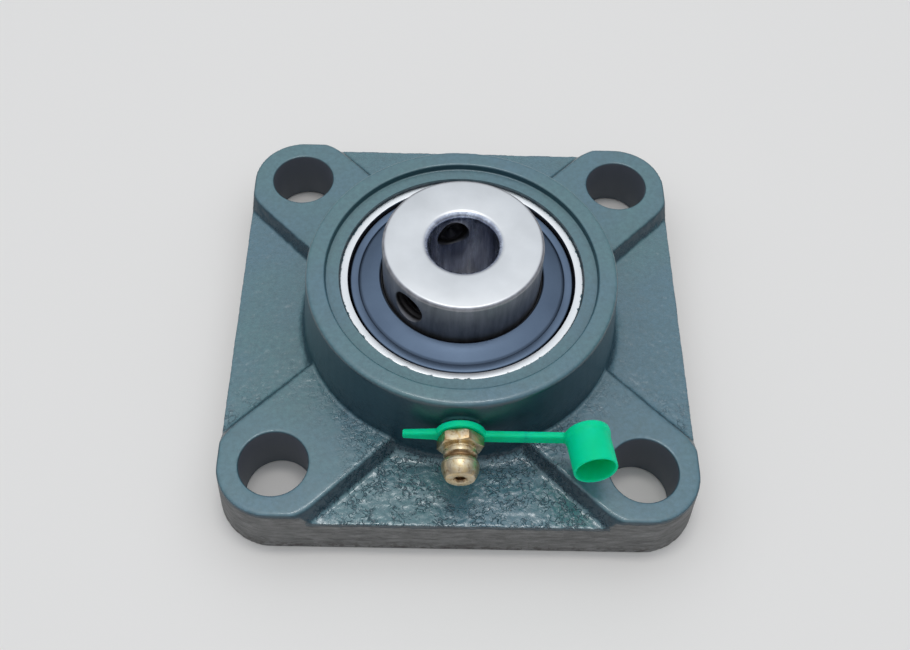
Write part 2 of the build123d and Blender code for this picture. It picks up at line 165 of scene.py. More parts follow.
def modify(piece, kind, **settings):
    """Adds a modifier and applies it at once."""
    make_active(piece)
    modifier = piece.modifiers.new(kind.title(), kind)
    for name, value in settings.items():
        setattr(modifier, name, value)
    bpy.ops.object.modifier_apply(modifier=modifier.name)


def smooth(piece, degrees=35):
    make_active(piece)
    bpy.ops.object.shade_smooth_by_angle(angle=math.radians(degrees))


def break_edges(piece, width, segments=2, degrees=28):
    """Rounds every edge sharper than the angle, then shades the piece smooth."""
    modify(piece, "BEVEL", width=width * MM, segments=segments, limit_method="ANGLE",
           angle_limit=math.radians(degrees), use_clamp_overlap=True)
    smooth(piece)


def bake_place(piece):
    """Moves the object's place, turn and scale into its mesh."""
    make_active(piece)
    bpy.ops.object.transform_apply(location=True, rotation=True, scale=True)


def carve(piece, *cutters, operation="DIFFERENCE"):
    """Booleans the piece with each cutter and throws the cutters away."""
    for cutter in cutters:
        modify(piece, "BOOLEAN", operation=operation, solver="MANIFOLD", object=cutter)
        bpy.data.objects.remove(cutter)


def join(piece, *others):
    """Joins the others into the piece, as one mesh."""
    make_active(piece)
    for other in others:
        other.select_set(True)
    bpy.ops.object.join()


def arc(centre, radius, start, end, steps):
    """Points on an arc, from the start angle to the end angle in degrees."""
    points = []
    for step in range(steps + 1):
        angle = math.radians(start + (end - start) * step / steps)
        points.append((centre[0] + radius * math.cos(angle), centre[1] + radius * math.sin(angle)))
    return points


def turned(name, section, steps=FINE_TURN):
    """A lathe-turned piece: the section is drawn edge by edge and spun about Z.

    A section that starts and ends on the axis is left open there, and any other is closed.
    """
    deselect_all()
    first = section[0]
    bpy.ops.mesh.primitive_plane_add(size=MM, location=(first[0] * MM, 0, first[1] * MM))
    piece = bpy.context.object
    piece.name = name
    bpy.ops.object.transform_apply(location=True)
    edit(piece)
    bpy.ops.mesh.merge(type="CENTER")
    for here, there in zip(section, section[1:]):
        step = ((there[0] - here[0]) * MM, 0, (there[1] - here[1]) * MM)
        bpy.ops.mesh.extrude_region_move(TRANSFORM_OT_translate={"value": step})
    if section[0][0] > 0:
        ends = [Vector((radius, 0, height)) for radius, height in (section[0], section[-1])]
        select_points(piece, lambda place: min((place - end).length for end in ends) < 0.001)
        bpy.ops.mesh.edge_face_add()
    bpy.ops.mesh.select_all(action="SELECT")
    bpy.ops.mesh.spin(steps=steps, angle=2 * math.pi, center=(0, 0, 0), axis=(0, 0, 1))
    close_edit()
    clean(piece)
    return piece


def add_cylinder(name, radius, depth, centre, sides=COARSE_TURN):
    deselect_all()
    bpy.ops.mesh.primitive_cylinder_add(vertices=sides, radius=radius * MM, depth=depth * MM,
                                        location=tuple(c * MM for c in centre))
    piece = bpy.context.object
    piece.name = name
    bake_place(piece)
    return piece


def add_block(name, size, centre):
    deselect_all()
    bpy.ops.mesh.primitive_cube_add(size=1, location=tuple(c * MM for c in centre))
    piece = bpy.context.object
    piece.name = name
    piece.scale = tuple(s * MM for s in size)
    bake_place(piece)
    return piece


def duplicate(piece, name):
    """A copy of the piece with its own mesh."""
    make_active(piece)
    bpy.ops.object.duplicate(linked=False)
    copy = bpy.context.object
    copy.name = name
    return copy


def copy_of_node(node, name):
    """A merged copy of a CAD node, as a piece of its own."""
    copy = bpy.data.objects.new(name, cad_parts[node].data.copy())
    bpy.context.scene.collection.objects.link(copy)
    clean(copy)
    return copy


def radial_place(azimuth, height):
    """Turns a piece's z axis outwards at that azimuth, at that height in millimetres."""
    turn = Matrix.Rotation(math.radians(azimuth), 4, "Z") @ Matrix.Rotation(math.pi / 2, 4, "Y")
    return Matrix.Translation((0, 0, height * MM)) @ turn


def put(piece, place):
    """Moves the piece to that place, in its mesh."""
    piece.matrix_world = place
    bake_place(piece)
    return piece


def places_of(piece):
    """Every point's place in millimetres, and its normal."""
    count = len(piece.data.vertices)
    place, normal = np.zeros(count * 3), np.zeros(count * 3)
    piece.data.vertices.foreach_get("co", place)
    piece.data.vertices.foreach_get("normal", normal)
    return place.reshape(-1, 3) / MM, normal.reshape(-1, 3)


def store(piece, name, values):
    """Keeps a number for each point, for the finish to read."""
    attribute = piece.data.attributes.new(name, "FLOAT", "POINT")
    attribute.data.foreach_set("value", np.clip(values, 0, 1).astype(np.float32))


def weigh(piece, name, values):
    """A vertex group with these weights, for modifiers."""
    group = piece.vertex_groups.new(name=name)
    for index, value in enumerate(np.clip(values, 0, 1)):
        group.add([index], float(value), "REPLACE")
    return group.name


def ramp(values, low, high):
    """0 at low, 1 at high, and smooth in between."""
    share = np.clip((values - low) / (high - low), 0, 1)
    return share * share * (3 - 2 * share)


# ---------------------------------------------------------------- shader maths

def plug(tree, value, socket):
    """Links a signal to the socket, or sets the socket to a constant."""
    if isinstance(value, Signal):
        tree.links.new(value.socket, socket)
    else:
        socket.default_value = value


class Signal:
    """A shader socket that Python's operators work on."""

    def __init__(self, tree, socket):
        self.tree = tree
        self.socket = socket

    def maths(self, operation, other=None, flipped=False):
        step = self.tree.nodes.new("ShaderNodeMath")
        step.operation = operation
        operands = [self] if other is None else [self, other]
        if flipped:
            operands.reverse()
        for operand, socket in zip(operands, step.inputs):
            plug(self.tree, operand, socket)
        return Signal(self.tree, step.outputs[0])

    def __add__(self, other):
        return self.maths("ADD", other)

    def __sub__(self, other):
        return self.maths("SUBTRACT", other)

    def __rsub__(self, other):
        return self.maths("SUBTRACT", other, flipped=True)

    def __mul__(self, other):
        return self.maths("MULTIPLY", other)

    def __truediv__(self, other):
        return self.maths("DIVIDE", other)

    def __pow__(self, other):
        return self.maths("POWER", other)

    __radd__ = __add__
    __rmul__ = __mul__

    def between(self, low, high):
        """0 at low and 1 at high, held there beyond them."""
        return ((self - low) / (high - low)).maths("MAXIMUM", 0.0).maths("MINIMUM", 1.0)


class Shading:
    """A node tree, and the one method that adds nodes to it."""

    def __init__(self, tree):
        self.tree = tree

    def node(self, kind, settings=None, inputs=None, output=0):
        step = self.tree.nodes.new("ShaderNode" + kind)
        for name, value in (settings or {}).items():
            if name == "stops":
                for index, (position, colour) in enumerate(value):
                    while len(step.color_ramp.elements) <= index:
                        step.color_ramp.elements.new(position)
                    step.color_ramp.elements[index].position = position
                    step.color_ramp.elements[index].color = colour
            else:
                setattr(step, name, value)
        for name, value in (inputs or {}).items():
            plug(self.tree, value, step.inputs[name])
        return Signal(self.tree, step.outputs[output])


class Finish(Shading):
    """A material: one Principled shader and what feeds it."""

    def __init__(self, name, **constants):
        self.material = bpy.data.materials.new(name)
        self.material.use_nodes = True
        super().__init__(self.material.node_tree)
        self.shader = self.tree.nodes["Principled BSDF"]
        for socket, value in constants.items():
            self.shader.inputs[socket.replace("_", " ")].default_value = value

    def place(self):
        return self.node("TexCoord", output="Object")

    def stored(self, name):
        """A number kept for each point of the piece."""
        return self.node("Attribute", {"attribute_name": name}, output="Fac")

    def stretched(self, x, y, z, place=None):
        """The place with its axes scaled, for streaks."""
        return self.node("Mapping", inputs={"Vector": place or self.place(), "Scale": (x, y, z)})

    def noise(self, size, detail=3.0, roughness=0.5, distortion=0.0, place=None):
        """Noise whose patches are about this many millimetres across."""
        return self.node("TexNoise", inputs={
            "Vector": place or self.place(), "Scale": 1 / (size * MM), "Detail": detail,
            "Roughness": roughness, "Distortion": distortion})

    def blend(self, factor, first, second):
        """The first colour where the factor is 0, the second where it is 1."""
        return self.node("Mix", {"data_type": "RGBA"},
                         {0: factor, 6: first, 7: second}, output=2)

    def bump(self, height, depth, strength=1.0, normal=None):
        """A bump whose full height is this deep, in millimetres."""
        inputs = {"Height": height, "Distance": depth * MM, "Strength": strength}
        if normal is not None:
            inputs["Normal"] = normal
        return self.node("Bump", inputs=inputs)

    def feed(self, **signals):
        """Links the shader's inputs and gives back the finished material."""
        for socket, value in signals.items():
            plug(self.tree, value, self.shader.inputs[socket.replace("_", " ")])
        return self.material


def radius_of(finish):
    """Distance from the shaft's axis, in millimetres."""
    x = finish.node("SeparateXYZ", inputs={0: finish.place()})
    y = Signal(finish.tree, x.socket.node.outputs[1])
    return ((x * x + y * y) ** 0.5) / MM


def height_of(finish):
    """Height above the mounting face, in millimetres."""
    return finish.node("SeparateXYZ", inputs={0: finish.place()}, output=2) / MM


# ---------------------------------------------------------------- finishes

def casting_enamel():
    """Glossy blue-green enamel over sand-cast iron, thin and dusty on the side walls, with shade
    painted dark on its steep sides and in its dents.
    """
    finish = Finish("casting_enamel", IOR=1.57, Specular_IOR_Level=0.7, Coat_Roughness=0.08)
    teal, blue = (0.078, 0.192, 0.206, 1), (0.078, 0.178, 0.228, 1)
    mottled, hazy = (0.047, 0.122, 0.146, 1), (0.066, 0.130, 0.140, 1)
    painted_shade_dark, rust = (0.004, 0.030, 0.048, 1), (0.034, 0.024, 0.018, 1)
    dark_scale, pale_scale = (0.095, 0.095, 0.092, 1), (0.235, 0.235, 0.228, 1)
    dark_iron, pale_iron = (0.17, 0.17, 0.165, 1), (0.27, 0.27, 0.265, 1)
    drilled = (0.110, 0.120, 0.145, 1)

    drop = finish.stored("drop") * LEVEL_SPAN
    rim, bore = finish.stored("rim"), finish.stored("bore")
    sand, steep_shade, pits_and_pit_shade = finish.stored("sand"), finish.stored("steep_shade"), finish.stored("pits_and_pit_shade")
    milled = height_of(finish).between(0.06, 0.02)
    wall = (1 - milled) * rim * (drop + finish.noise(1.6, 4, 0.65) * 1.2).between(1.25, 1.55)
    grain = finish.noise(0.42, 3, 0.6)
    pits = finish.noise(1.0, 3, 0.55, 0.5)
    # dents drawn as strokes: they are bumped, and their dark colour is painted shade
    strokes = 1 - ((finish.noise(0.95, 2, 0.5, 0.5) - 0.5).maths("ABSOLUTE") / 0.062).between(0, 1)
    strokes = strokes * finish.noise(2.4, 3).between(0.40, 0.54) * sand * pits_and_pit_shade
    streaks = finish.noise(1.0, 4, 0.65, 0.6, place=finish.stretched(0.30, 0.30, 1.3))
    cuts = finish.noise(0.7, 3, 0.7, place=finish.stretched(0.06, 1.5, 1.0))

    colour = finish.blend(finish.noise(24, 3).between(0.40, 0.60), teal, blue)
    colour = finish.blend(finish.noise(0.9, 4, 0.7).between(0.35, 0.65) * 0.7, colour, mottled)
    colour = finish.blend(finish.noise(3.2, 4, 0.6).between(0.5, 0.75) * 0.3, colour, hazy)
    shade = (strokes * 0.95 + steep_shade * 0.90).between(0, 1)
    # painted shade: the steep sides and the dark dent strokes take a near-black colour that stands
    # in for shade
    colour = finish.blend(shade, colour, painted_shade_dark)
    scale = finish.blend(streaks.between(0.35, 0.68), dark_scale, pale_scale)
    colour = finish.blend(wall, colour, scale)
    foot = height_of(finish).between(3.0, 0.4)
    chips = wall * finish.noise(1.2, 5, 0.7).between(0.50, 0.56) * foot
    colour = finish.blend(chips * 0.85, colour, rust)
    colour = finish.blend(bore, colour, drilled)
    iron = finish.blend(cuts.between(0.3, 0.7), dark_iron, pale_iron)
    colour = finish.blend(milled, colour, iron)

    roughness = 0.21 + grain * 0.12 + (1 - sand) * 0.08 + wall * 0.40 + bore * 0.30 + milled * 0.12
    coat = 0.3 * (1 - shade) * (1 - wall) * (1 - bore) * (1 - milled)
    wrinkle = finish.bump(pits * (sand * 0.8 + 0.2), 0.09, 0.8)
    stroke = finish.bump(1 - strokes, 0.08, 0.9, wrinkle)
    skin = finish.bump(grain, 0.022, 0.7, stroke)
    scored = finish.bump(streaks * wall, 0.60, 0.9, skin)
    return finish.feed(Base_Color=colour, Roughness=roughness, Coat_Weight=coat, Normal=scored)


def ground_steel():
    """Bright ring steel, with a ragged edge of the housing's paint on its end face."""
    finish = Finish("ground_ring_steel")
    broad = finish.noise(6, 3)
    fine = finish.noise(0.18, 2, 0.6)
    radius = radius_of(finish)
    lines = finish.node("TexNoise", {"noise_dimensions": "1D"},
                        {"W": radius, "Scale": 14.0, "Detail": 4.0, "Roughness": 0.8})
    tone = (0.25 + broad * 0.5 + lines * 0.25).between(0.0, 1.0)
    colour = finish.blend(tone, (0.66, 0.66, 0.66, 1), (0.80, 0.80, 0.79, 1))
    ragged = finish.noise(1.4, 5, 0.7)
    end_face = height_of(finish).between(23.2, 23.4)
    paint = (radius + ragged * 1.6).between(22.45, 22.55) * end_face
    colour = finish.blend(paint, colour, (0.045, 0.110, 0.130, 1))
    roughness = 0.26 + fine * 0.10 + lines * 0.05
    return finish.feed(Base_Color=colour, Roughness=roughness, Metallic=1 - paint,
                       Normal=finish.bump(fine + paint * 4, 0.01, 0.6))


def sleeve_steel():
    """Inner ring: bright ground ends, honed bore with bluish streaks painted as reflection, darker
    brushed outside, shade painted into the tapped holes.
    """
    finish = Finish("sleeve_ring_steel", Metallic=1.0)
    face = finish.stored("face")
    honed = finish.stored("honed")
    tapped = finish.stored("tapped")
    streak = finish.noise(1.1, 4, 0.6, place=finish.stretched(0.9, 0.9, 0.12))
    turning = finish.noise(0.5, 3, 0.6, place=finish.stretched(0.05, 0.05, 2.0))
    broad = finish.noise(5, 3)
    fine = finish.noise(0.2, 2, 0.6)
    side = finish.blend(streak.between(0.32, 0.68), (0.31, 0.31, 0.33, 1), (0.48, 0.48, 0.51, 1))
    # honed bore steel, partly painted reflection: the bluish tint and bright streaks stand in for
    # the room reflected in the bore
    honed_reflection = finish.blend(streak.between(0.40, 0.62), (0.46, 0.49, 0.60, 1), (0.80, 0.85, 0.96, 1))
    side = finish.blend(honed, side, honed_reflection)
    end = finish.blend(broad.between(0.3, 0.7), (0.60, 0.60, 0.60, 1), (0.67, 0.67, 0.67, 1))
    colour = finish.blend(face, side, end)
    # painted shade: the walls of the tapped holes are coloured near black to stand in for the
    # shade inside them
    colour = finish.blend(tapped, colour, (0.075, 0.070, 0.070, 1))
    roughness = 0.34 + streak * 0.14 - face * 0.02 + fine * 0.05 - honed * 0.18 + tapped * 0.2
    return finish.feed(Base_Color=colour, Roughness=roughness,
                       Normal=finish.bump(fine + streak + turning, 0.004, 0.6))


def shield_steel():
    """Blue-grey pressed steel of the shields."""
    finish = Finish("blued_shield_steel", Metallic=1.0)
    broad = finish.noise(8, 3)
    fine = finish.noise(0.3, 3, 0.6)
    tone = (broad * 0.7 + fine * 0.3).between(0.3, 0.7)
    colour = finish.blend(tone, (0.100, 0.136, 0.195, 1), (0.130, 0.176, 0.245, 1))
    radius = radius_of(finish)
    crease = 1 - ((radius - SHIELD_BEAD).maths("ABSOLUTE") / 0.12).between(0, 1)
    shadow = (crease * 0.8 + radius.between(SHIELD_EDGE, SHIELD_EDGE + 0.08)).between(0, 1)
    colour = finish.blend(shadow, colour, (0.006, 0.007, 0.010, 1))
    return finish.feed(Base_Color=colour, Roughness=0.38 + fine * 0.14,
                       Normal=finish.bump(fine, 0.006, 0.5))


def lip_rubber():
    """Black rubber of the lip seals."""
    finish = Finish("seal_lip_rubber", Specular_IOR_Level=0.35)
    fine = finish.noise(0.25, 3, 0.6)
    colour = finish.blend(fine, (0.008, 0.008, 0.009, 1), (0.022, 0.022, 0.024, 1))
    return finish.feed(Base_Color=colour, Roughness=0.5 + fine * 0.2,
                       Normal=finish.bump(fine, 0.02, 0.6))


def black_oxide():
    """Set screws: oiled black oxide, worn brighter in patches."""
    finish = Finish("oiled_black_oxide", Metallic=1.0)
    fine = finish.noise(0.3, 3, 0.6)
    worn = finish.noise(0.9, 4, 0.7).between(0.58, 0.7)
    colour = finish.blend(worn * 0.5, (0.035, 0.034, 0.036, 1), (0.16, 0.15, 0.14, 1))
    return finish.feed(Base_Color=colour, Roughness=0.32 + fine * 0.2,
                       Normal=finish.bump(fine, 0.01, 0.5))


def polished_steel():
    """Balls and other polished inside pieces."""
    finish = Finish("polished_ball_steel", Metallic=1.0)
    fine = finish.noise(0.5, 2)
    colour = finish.blend(fine, (0.78, 0.78, 0.79, 1), (0.88, 0.88, 0.89, 1))
    return finish.feed(Base_Color=colour, Roughness=0.06 + fine * 0.05)


def strip_steel():
    """Cold-rolled strip of the cage, with a faint rolling direction."""
    finish = Finish("rolled_strip_steel", Metallic=1.0)
    streak = finish.noise(1.0, 4, 0.6, place=finish.stretched(0.3, 3.0, 1.0))
    colour = finish.blend(streak.between(0.3, 0.7), (0.46, 0.45, 0.43, 1), (0.60, 0.59, 0.57, 1))
    return finish.feed(Base_Color=colour, Roughness=0.28 + streak * 0.15,
                       Normal=finish.bump(streak, 0.004, 0.5))


def spring_wire():
    """Bright drawn wire of the check spring."""
    finish = Finish("drawn_spring_wire", Metallic=1.0)
    fine = finish.noise(0.2, 3, 0.6)
    colour = finish.blend(fine, (0.45, 0.45, 0.46, 1), (0.62, 0.62, 0.62, 1))
    return finish.feed(Base_Color=colour, Roughness=0.25 + fine * 0.15)


def passivated_brass():
    """Grease nipple: yellow passivate, worn to grey in places and stained brown in its grooves."""
    finish = Finish("yellow_passivate", Metallic=1.0)
    cloud = finish.noise(1.6, 5, 0.65, 0.8)
    stain = finish.noise(0.8, 4, 0.7)
    fine = finish.noise(0.16, 3, 0.6)
    lines = finish.noise(0.5, 2, 0.5, place=finish.stretched(0.15, 4.0, 0.15))
    grime = (finish.stored("grime") + stain.between(0.52, 0.70) * 0.7).between(0.0, 1.0)
    colour = finish.blend(cloud.between(0.35, 0.65), (0.66, 0.49, 0.25, 1), (0.74, 0.67, 0.52, 1))
    colour = finish.blend(grime * 0.85, colour, (0.23, 0.11, 0.035, 1))
    return finish.feed(Base_Color=colour, Roughness=0.25 + cloud * 0.16 + fine * 0.10,
                       Normal=finish.bump(fine + lines, 0.012, 0.6))


def green_plastic():
    """Soft emerald polyethylene of the dust cap."""
    finish = Finish("emerald_polyethylene", Subsurface_Weight=0.6, IOR=1.5,
                    Specular_IOR_Level=0.1, Subsurface_Scale=0.0020,
                    Subsurface_Radius=(0.1, 1.0, 0.5))
    broad = finish.noise(3.0, 2)
    fine = finish.noise(0.22, 3, 0.55)
    colour = finish.blend(broad.between(0.3, 0.7), (0.0, 0.66, 0.30, 1), (0.0, 0.72, 0.36, 1))
    return finish.feed(Base_Color=colour, Roughness=0.36 + fine * 0.12,
                       Normal=finish.bump(fine, 0.008, 0.5))


def give_finish(piece, material):
    """Puts the material on the piece in place of any other."""
    piece.data.materials.clear()
    piece.data.materials.append(material)


def dress(piece, material, body, slot_name, *nodes):
    """Gives a finished piece its finish and its body, and hides the nodes it stands for; slot_name
    is not used.
    """
    give_finish(piece, material)
    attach(piece, body)
    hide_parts(*nodes)


# ---------------------------------------------------------------- flange casting

def web_distance(place):
    """How far a point lies from the nearer diagonal, in millimetres."""
    x, y = place[:, 0], place[:, 1]
    return np.minimum(abs(x - y), abs(x + y)) / math.sqrt(2)


def lug_distance(place):
    """How far a point lies from the nearest bolt hole's axis, in millimetres."""
    return np.hypot(abs(place[:, 0]) - BOLT_REACH, abs(place[:, 1]) - BOLT_REACH)


def sandiness(place, normal):
    """How rough the casting's skin is at each point."""
    reach = np.hypot(place[:, 0], place[:, 1])
    up = normal[:, 2]
    outside = 1 - ramp(reach, HUB_FOOT - 1, HUB_FOOT + 1)
    pocket = ramp(web_distance(place), WEB_HALF_WIDTH - 1, WEB_HALF_WIDTH + 2)
    on_web = 0.06 + 0.90 * ramp(lug_distance(place), 9, 19)
    sand = pocket + (1 - pocket) * on_web
    hub = 0.10 + 0.35 * (1 - ramp(place[:, 2], 12, 20))
    sand = sand * (1 - outside) + hub * outside
    edge = np.maximum(abs(place[:, 0]), abs(place[:, 1]))
    wall = ramp(edge, 41.0, 42.5) * (1 - ramp(up, 0.3, 0.7))
    sand = sand * (1 - wall) + 0.45 * wall
    return sand * ramp(place[:, 2], 0.3, 1.5)


def cast_texture(name, size):
    """Cloud noise whose patches are about this many millimetres across."""
    texture = bpy.data.textures.new(name, "CLOUDS")
    texture.noise_scale = size * MM
    texture.noise_depth = 2
    return texture


def casting_blank():
    """The rough casting before machining: fused, softened and given its sand texture."""
    blank = copy_of_node("flange_housing", "flange_casting")
    plugs = [add_cylinder("bore_plug", 26.0, HUB_TOP, (0, 0, HUB_TOP / 2))]
    plugs.append(add_cylinder("nipple_plug", 3.4, 7.0, (0, -25.0, NIPPLE_LEVEL)))
    edit(plugs[-1])
    bpy.ops.transform.rotate(value=math.pi / 2, orient_axis="X",
                             center_override=(0, -25.0 * MM, NIPPLE_LEVEL * MM))
    close_edit()
    for x in (-BOLT_REACH, BOLT_REACH):
        for y in (-BOLT_REACH, BOLT_REACH):
            plugs.append(add_cylinder("bolt_plug", BOLT_RADIUS + 0.3, LUG_TOP,
                                      (x, y, LUG_TOP / 2)))
    join(blank, *plugs)
    modify(blank, "REMESH", mode="VOXEL", voxel_size=CASTING_VOXEL * MM)
    modify(blank, "SMOOTH", factor=0.5, iterations=3)
    sand = weigh(blank, "sand_weight", sandiness(*places_of(blank)))
    for name, size, strength in (("sand_waves", 4.0, 0.22), ("sand_wrinkles", 0.85, 0.19)):
        modify(blank, "DISPLACE", texture=cast_texture(name, size), texture_coords="LOCAL",
               strength=strength * MM, mid_level=0.5, vertex_group=sand)
    return blank


def flatten_blank(blank):
    """Keeps the casting inside its own box and its mounting face flat."""
    place, _ = places_of(blank)
    place[:, :2] = np.clip(place[:, :2], -HALF_FLANGE, HALF_FLANGE)
    place[:, 2] = np.where(place[:, 2] < MILLED_BELOW, 0.0, np.minimum(place[:, 2], HUB_TOP))
    blank.data.vertices.foreach_set("co", (place * MM).ravel())
    blank.data.update()


def bolt_cutter(x, y):
    """Drill for one bolt hole, flared where paint rounds the hole's edges."""
    section = [(0, -1), (BOLT_RADIUS + 0.35, -1), (BOLT_RADIUS + 0.35, 0)]
    section += [(BOLT_RADIUS, 0.35), (BOLT_RADIUS, LUG_TOP - 0.4)]
    section += arc((BOLT_RADIUS + 0.4, LUG_TOP - 0.4), 0.4, 180, 90, 4)
    section += [(BOLT_RADIUS + 1.0, LUG_TOP + 1.5), (0, LUG_TOP + 1.5)]
    cutter = turned("bolt_cutter", section, COARSE_TURN)
    return put(cutter, Matrix.Translation((x * MM, y * MM, 0)))


def seat_cutter():
    """Everything taken out of the hub: the step in its rim, spherical seat and back recess."""
    seat = RACE_SPHERE + 0.05
    lip = math.degrees(math.asin(HALF_WIDTH / seat))
    mouth = seat * math.cos(math.radians(lip))
    step_floor = HUB_TOP - STEP_DEPTH
    section = [(0, -1), (26.0, -1), (25.5, 0), (25.0, 2.0), (mouth, 2.0)]
    section += arc((0, BEARING_CENTRE), seat, -lip, lip, 24)
    section += [(mouth + 0.12, step_floor), (STEP_FLOOR_EDGE, step_floor)]
    section += arc((STEP_FLOOR_EDGE, step_floor + 0.3), 0.3, -90, 0, 4)
    section += arc((STEP_TOP_EDGE, HUB_TOP - 0.4), 0.4, 180, 90, 4)
    section += [(26.0, HUB_TOP + 1.0), (0, HUB_TOP + 1.0)]
    return turned("seat_cutter", section)


def slot_cutter():
    """The two loading slots on the back, through which the insert is put in sideways."""
    disc = add_cylinder("slot_cutter", RACE_SPHERE + 0.05, BEARING_CENTRE + 1,
                        (0, 0, (BEARING_CENTRE - 1) / 2), FINE_TURN)
    width = add_block("slot_width", (60, 2 * HALF_WIDTH + 0.6, 40), (0, 0, 0))
    carve(disc, width, operation="INTERSECT")
    return disc


def nipple_cutter():
    """The tapped hole that the grease nipple is screwed into."""
    section = [(0, 24.6), (3.0, 24.6), (3.0, 28.2), (3.3, 28.7), (3.3, 31.0), (0, 31.0)]
    return put(turned("nipple_cutter", section, 48), radial_place(-90, NIPPLE_LEVEL))


def paint_masks(casting):
    """Stores how sandy and pitted the paint is, where shade is painted on steep sides and in
    dents, and where the walls and bores are.
    """
    place, normal = places_of(casting)
    reach = np.hypot(place[:, 0], place[:, 1])
    edge = np.maximum(abs(place[:, 0]), abs(place[:, 1]))
    corner = lug_distance(place)
    raised = (web_distance(place) < WEB_HALF_WIDTH + 1.0) | (corner < 11)
    root_half = 0.7071
    outwards = (normal[:, 0] * np.sign(place[:, 0])
                + normal[:, 1] * np.sign(place[:, 1])) * root_half
    outer = ((edge > 38) & (corner > 8.5)) * ramp(outwards, 0.2, 0.45)
    store(casting, "sand", sandiness(place, normal))
    towards_nipple = ramp(-place[:, 1], 12, 28)
    # where the dents are bumped and painted dark as shade, more on the nipple's side
    store(casting, "pits_and_pit_shade", 0.15 + 1.05 * towards_nipple * (1 - 0.35 * ramp(reach, 40, 54)))
    store(casting, "rim", outer * (1 - ramp(normal[:, 2], 0.45, 0.85)))
    store(casting, "drop", (np.where(raised, LUG_TOP, POCKET_FLOOR) - place[:, 2]) / LEVEL_SPAN)
    # painted shade: steep sides of the hub, the webs and the rim step are marked for a dark colour
    # that stands in for shade
    hub_side = (1 - ramp(normal[:, 2], 0.25, 0.8)) * (reach > HUB_RADIUS - 1.5)
    web_side = (1 - ramp(normal[:, 2], 0.55, 0.92)) * (reach > HUB_FOOT)
    in_step = (reach > STEP_FLOOR_EDGE - 0.1) & (reach < STEP_TOP_EDGE + 0.1)
    step_side = 0.8 * (1 - ramp(normal[:, 2], 0.45, 0.85)) * in_step
    store(casting, "steep_shade", np.maximum(np.maximum(hub_side, web_side), step_side))
    drilled = (1 - ramp(corner, BOLT_RADIUS + 0.05, BOLT_RADIUS + 0.3)) * (
        1 - ramp(abs(normal[:, 2]), 0.2, 0.6))
    seat = (1 - ramp(reach, 23.3, 23.7)) * (1 - ramp(place[:, 2], 23.4, 24.0))
    store(casting, "bore", np.maximum(drilled, seat))


def flange_casting(material):
    """The casting: its rough blank, thinned, then drilled and bored."""
    casting = casting_blank()
    flatten_blank(casting)
    modify(casting, "DECIMATE", ratio=CASTING_KEEP)
    reach = (-BOLT_REACH, BOLT_REACH)
    carve(casting, *(bolt_cutter(x, y) for x in reach for y in reach))
    carve(casting, seat_cutter(), slot_cutter(), nipple_cutter())
    paint_masks(casting)
    smooth(casting, 32)
    dress(casting, material, "housing", "housing_enamel", "flange_housing")


# ---------------------------------------------------------------- bearing insert

def raise_to_bearing(section):
    """Shifts a section drawn about the bearing's centre up to its height."""
    return [(radius, height + BEARING_CENTRE) for radius, height in section]


def outer_race(material):
    """Outer ring: spherical outside, raceway, seal seats and two grease holes."""
    tip = math.degrees(math.asin((HALF_WIDTH - 0.2) / RACE_SPHERE))
    groove_radius, groove_centre, land = 4.2, 16.534, 19.3
    half_angle = math.degrees(math.acos((land - groove_centre) / groove_radius))
    upper = [(20.45, 8.5), (20.45, 7.3), (20.95, 7.3), (20.95, 6.5), (20.45, 6.5), (20.45, 5.9)]
    upper.append((land, 5.9))
    raceway = arc((groove_centre, 0), groove_radius, half_angle, -half_angle, 16)
    section = arc((0, 0), RACE_SPHERE, -tip, tip, 28)
    section.append((section[-1][0] - 0.25, HALF_WIDTH))
    section += upper + raceway + [(radius, -height) for radius, height in reversed(upper)]
    section.append((section[0][0] - 0.25, -HALF_WIDTH))
    ring = turned("outer_race", raise_to_bearing(section))
    for azimuth in (-90, 90):
        drill = add_cylinder("grease_drill", 0.8, 8.0, (0, 0, 21.0), 32)
        carve(ring, put(drill, radial_place(azimuth, NIPPLE_LEVEL)))
    break_edges(ring, 0.06)
    dress(ring, material, "outer_race", "ground_steel", "outer_ring")


def thread_cutter():
    """Tap for a set screw hole: the drilling with its ridged thread and a countersunk mouth."""
    radius, start, pitch, mouth = SCREW_HOLE, 6.45, 1.0, SCREW_HOLE + 0.45
    section = [(0, 4.0), (radius, 4.0), (radius, start)]
    for turn in range(7):
        base = start + turn * pitch
        section += [(radius, base + 0.1), (radius + 0.18, base + 0.5), (radius, base + 0.9)]
    section += [(radius, 13.55), (mouth, SLEEVE_RADIUS), (mouth, 17.0), (0, 17.0)]
    return turned("thread_cutter", section, 64)


